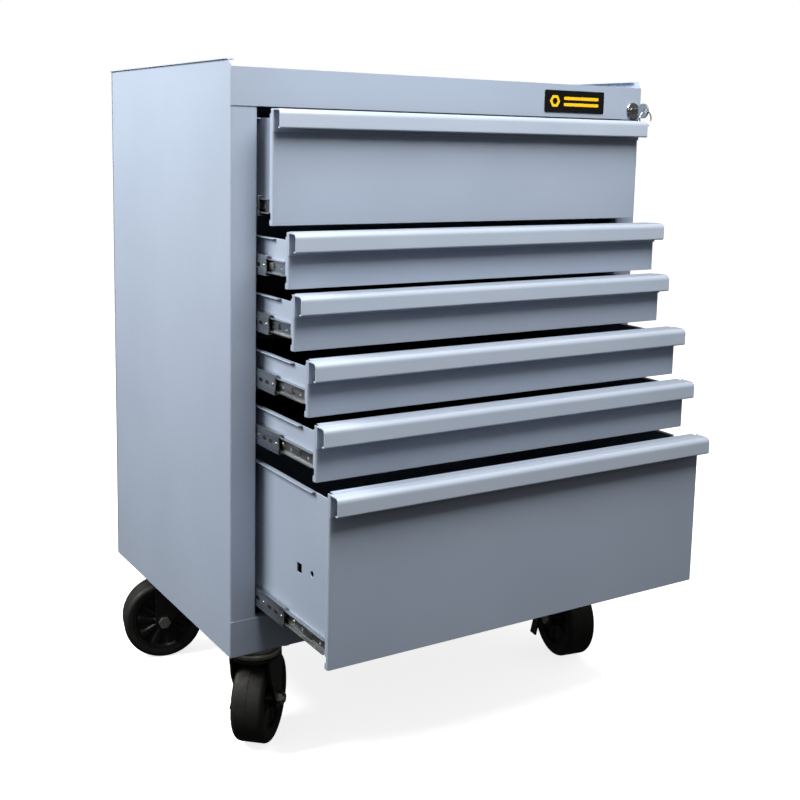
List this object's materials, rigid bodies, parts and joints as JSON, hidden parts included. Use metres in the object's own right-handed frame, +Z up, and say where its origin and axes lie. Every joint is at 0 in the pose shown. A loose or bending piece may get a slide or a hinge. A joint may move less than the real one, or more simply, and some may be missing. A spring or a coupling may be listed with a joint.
{
  "type": "rolling tool chest",
  "caption": "Steel roller cabinet with stacked drawers on telescopic slides, full-width pulls, a cam lock, a raised top tray and swivel casters with side brakes.",
  "frame": {"origin": "centre of the footprint at floor level, drawers part open as stored", "axes": "+Z up, -Y the side the drawers open to, +X to the right of a person facing the drawers"},
  "size_m": [0.7082, 0.669, 0.934],
  "materials": {
    "body_paint": "satin powder coat",
    "pull_silver": "satin silver",
    "zinc": "zinc plated",
    "chrome": "polished",
    "fork_black": "satin black",
    "wheel_rubber": "moulded",
    "badge": "gloss"
  },
  "bodies": {
    "root": {"left_side_panel": "body_paint", "right_side_panel": "body_paint", "back_panel": "body_paint", "top_tray": "body_paint", "floor_pan": "body_paint", "top_rail": "body_paint", "slide_posts": "zinc", "cabinet_rails": "zinc", "badge_plate": "badge", "caster_plates": "zinc", "caster_bolts": "zinc", "lock_barrel": "chrome"},
    "lock_plug": {"lock_plug": "chrome", "lock_cam": "zinc", "key": "chrome"},
    "lock_bar": {"lock_bar": "zinc"},
    "drawer_1": {"drawer_1_box": "body_paint", "drawer_1_front": "body_paint", "drawer_1_pull": "pull_silver", "drawer_1_runners": "zinc"},
    "drawer_1_mid": {"drawer_1_mid_rails": "zinc"},
    "drawer_2": {"drawer_2_box": "body_paint", "drawer_2_front": "body_paint", "drawer_2_pull": "pull_silver", "drawer_2_runners": "zinc"},
    "drawer_2_mid": {"drawer_2_mid_rails": "zinc"},
    "drawer_3": {"drawer_3_box": "body_paint", "drawer_3_front": "body_paint", "drawer_3_pull": "pull_silver", "drawer_3_runners": "zinc"},
    "drawer_3_mid": {"drawer_3_mid_rails": "zinc"},
    "drawer_4": {"drawer_4_box": "body_paint", "drawer_4_front": "body_paint", "drawer_4_pull": "pull_silver", "drawer_4_runners": "zinc"},
    "drawer_4_mid": {"drawer_4_mid_rails": "zinc"},
    "drawer_5": {"drawer_5_box": "body_paint", "drawer_5_front": "body_paint", "drawer_5_pull": "pull_silver", "drawer_5_runners": "zinc"},
    "drawer_5_mid": {"drawer_5_mid_rails": "zinc"},
    "drawer_6": {"drawer_6_box": "body_paint", "drawer_6_front": "body_paint", "drawer_6_pull": "pull_silver", "drawer_6_runners": "zinc"},
    "drawer_6_mid": {"drawer_6_mid_rails": "zinc"},
    "caster_fl": {"caster_fl_fork": "fork_black", "caster_fl_axle": "zinc"},
    "wheel_fl": {"caster_fl_wheel": "wheel_rubber"},
    "brake_fl": {"caster_fl_brake_lever": "fork_black"},
    "caster_fr": {"caster_fr_fork": "fork_black", "caster_fr_axle": "zinc"},
    "wheel_fr": {"caster_fr_wheel": "wheel_rubber"},
    "brake_fr": {"caster_fr_brake_lever": "fork_black"},
    "caster_rl": {"caster_rl_fork": "fork_black", "caster_rl_axle": "zinc"},
    "wheel_rl": {"caster_rl_wheel": "wheel_rubber"},
    "caster_rr": {"caster_rr_fork": "fork_black", "caster_rr_axle": "zinc"},
    "wheel_rr": {"caster_rr_wheel": "wheel_rubber"}
  },
  "joints": [
    {"name": "lock_bar_lift", "type": "slide", "parent": "root", "child": "lock_bar", "axis": [0, 0, 1], "range_m": [0, 0.0127]},
    {"name": "lock_turn", "type": "hinge", "parent": "root", "child": "lock_plug", "pos_m": [0.3243, -0.1175, 0.8896], "axis": [0, 1, 0], "range_deg": [0, 90]},
    {"name": "drawer_1_slide", "type": "slide", "parent": "root", "child": "drawer_1", "axis": [0, -1, 0], "range_m": [-0.04, 0.34]},
    {"name": "drawer_1_mid_slide", "type": "slide", "parent": "root", "child": "drawer_1_mid", "axis": [0, -1, 0], "range_m": [-0.02, 0.17]},
    {"name": "drawer_2_slide", "type": "slide", "parent": "root", "child": "drawer_2", "axis": [0, -1, 0], "range_m": [-0.085, 0.295]},
    {"name": "drawer_2_mid_slide", "type": "slide", "parent": "root", "child": "drawer_2_mid", "axis": [0, -1, 0], "range_m": [-0.0425, 0.1475]},
    {"name": "drawer_3_slide", "type": "slide", "parent": "root", "child": "drawer_3", "axis": [0, -1, 0], "range_m": [-0.101, 0.279]},
    {"name": "drawer_3_mid_slide", "type": "slide", "parent": "root", "child": "drawer_3_mid", "axis": [0, -1, 0], "range_m": [-0.0505, 0.1395]},
    {"name": "drawer_4_slide", "type": "slide", "parent": "root", "child": "drawer_4", "axis": [0, -1, 0], "range_m": [-0.139, 0.241]},
    {"name": "drawer_4_mid_slide", "type": "slide", "parent": "root", "child": "drawer_4_mid", "axis": [0, -1, 0], "range_m": [-0.0695, 0.1205]},
    {"name": "drawer_5_slide", "type": "slide", "parent": "root", "child": "drawer_5", "axis": [0, -1, 0], "range_m": [-0.162, 0.218]},
    {"name": "drawer_5_mid_slide", "type": "slide", "parent": "root", "child": "drawer_5_mid", "axis": [0, -1, 0], "range_m": [-0.081, 0.109]},
    {"name": "drawer_6_slide", "type": "slide", "parent": "root", "child": "drawer_6", "axis": [0, -1, 0], "range_m": [-0.197, 0.183]},
    {"name": "drawer_6_mid_slide", "type": "slide", "parent": "root", "child": "drawer_6_mid", "axis": [0, -1, 0], "range_m": [-0.0985, 0.0915]},
    {"name": "swivel_fl", "type": "hinge", "parent": "root", "child": "caster_fl", "pos_m": [-0.284, -0.0745, 0.147], "axis": [0, 0, 1], "continuous": true},
    {"name": "wheel_fl_roll", "type": "hinge", "parent": "caster_fl", "child": "wheel_fl", "pos_m": [-0.27036, -0.05987, 0.0625], "axis": [-0.7314, 0.682, 0], "continuous": true},
    {"name": "brake_fl_lever", "type": "hinge", "parent": "caster_fl", "child": "brake_fl", "pos_m": [-0.27036, -0.05987, 0.0625], "axis": [-0.7314, 0.682, 0], "range_deg": [-35, 0]},
    {"name": "swivel_fr", "type": "hinge", "parent": "root", "child": "caster_fr", "pos_m": [0.284, -0.0745, 0.147], "axis": [0, 0, 1], "continuous": true},
    {"name": "wheel_fr_roll", "type": "hinge", "parent": "caster_fr", "child": "wheel_fr", "pos_m": [0.28747, -0.0548, 0.0625], "axis": [-0.9848, 0.1736, 0], "continuous": true},
    {"name": "brake_fr_lever", "type": "hinge", "parent": "caster_fr", "child": "brake_fr", "pos_m": [0.28747, -0.0548, 0.0625], "axis": [-0.9848, 0.1736, 0], "range_deg": [-35, 0]},
    {"name": "swivel_rl", "type": "hinge", "parent": "root", "child": "caster_rl", "pos_m": [-0.27, 0.263, 0.147], "axis": [0, 0, 1], "continuous": true},
    {"name": "wheel_rl_roll", "type": "hinge", "parent": "caster_rl", "child": "wheel_rl", "pos_m": [-0.28941, 0.26784, 0.0625], "axis": [-0.2419, -0.9703, 0], "continuous": true},
    {"name": "swivel_rr", "type": "hinge", "parent": "root", "child": "caster_rr", "pos_m": [0.27, 0.263, 0.147], "axis": [0, 0, 1], "continuous": true},
    {"name": "wheel_rr_roll", "type": "hinge", "parent": "caster_rr", "child": "wheel_rr", "pos_m": [0.28941, 0.26784, 0.0625], "axis": [-0.2419, 0.9703, 0], "continuous": true}
  ],
  "couplings": [
    {"joint": "lock_turn", "follows": "lock_bar_lift", "rad_per_m": 123.41},
    {"joint": "drawer_1_mid_slide", "follows": "drawer_1_slide", "ratio": 0.5},
    {"joint": "drawer_2_mid_slide", "follows": "drawer_2_slide", "ratio": 0.5},
    {"joint": "drawer_3_mid_slide", "follows": "drawer_3_slide", "ratio": 0.5},
    {"joint": "drawer_4_mid_slide", "follows": "drawer_4_slide", "ratio": 0.5},
    {"joint": "drawer_5_mid_slide", "follows": "drawer_5_slide", "ratio": 0.5},
    {"joint": "drawer_6_mid_slide", "follows": "drawer_6_slide", "ratio": 0.5}
  ]
}
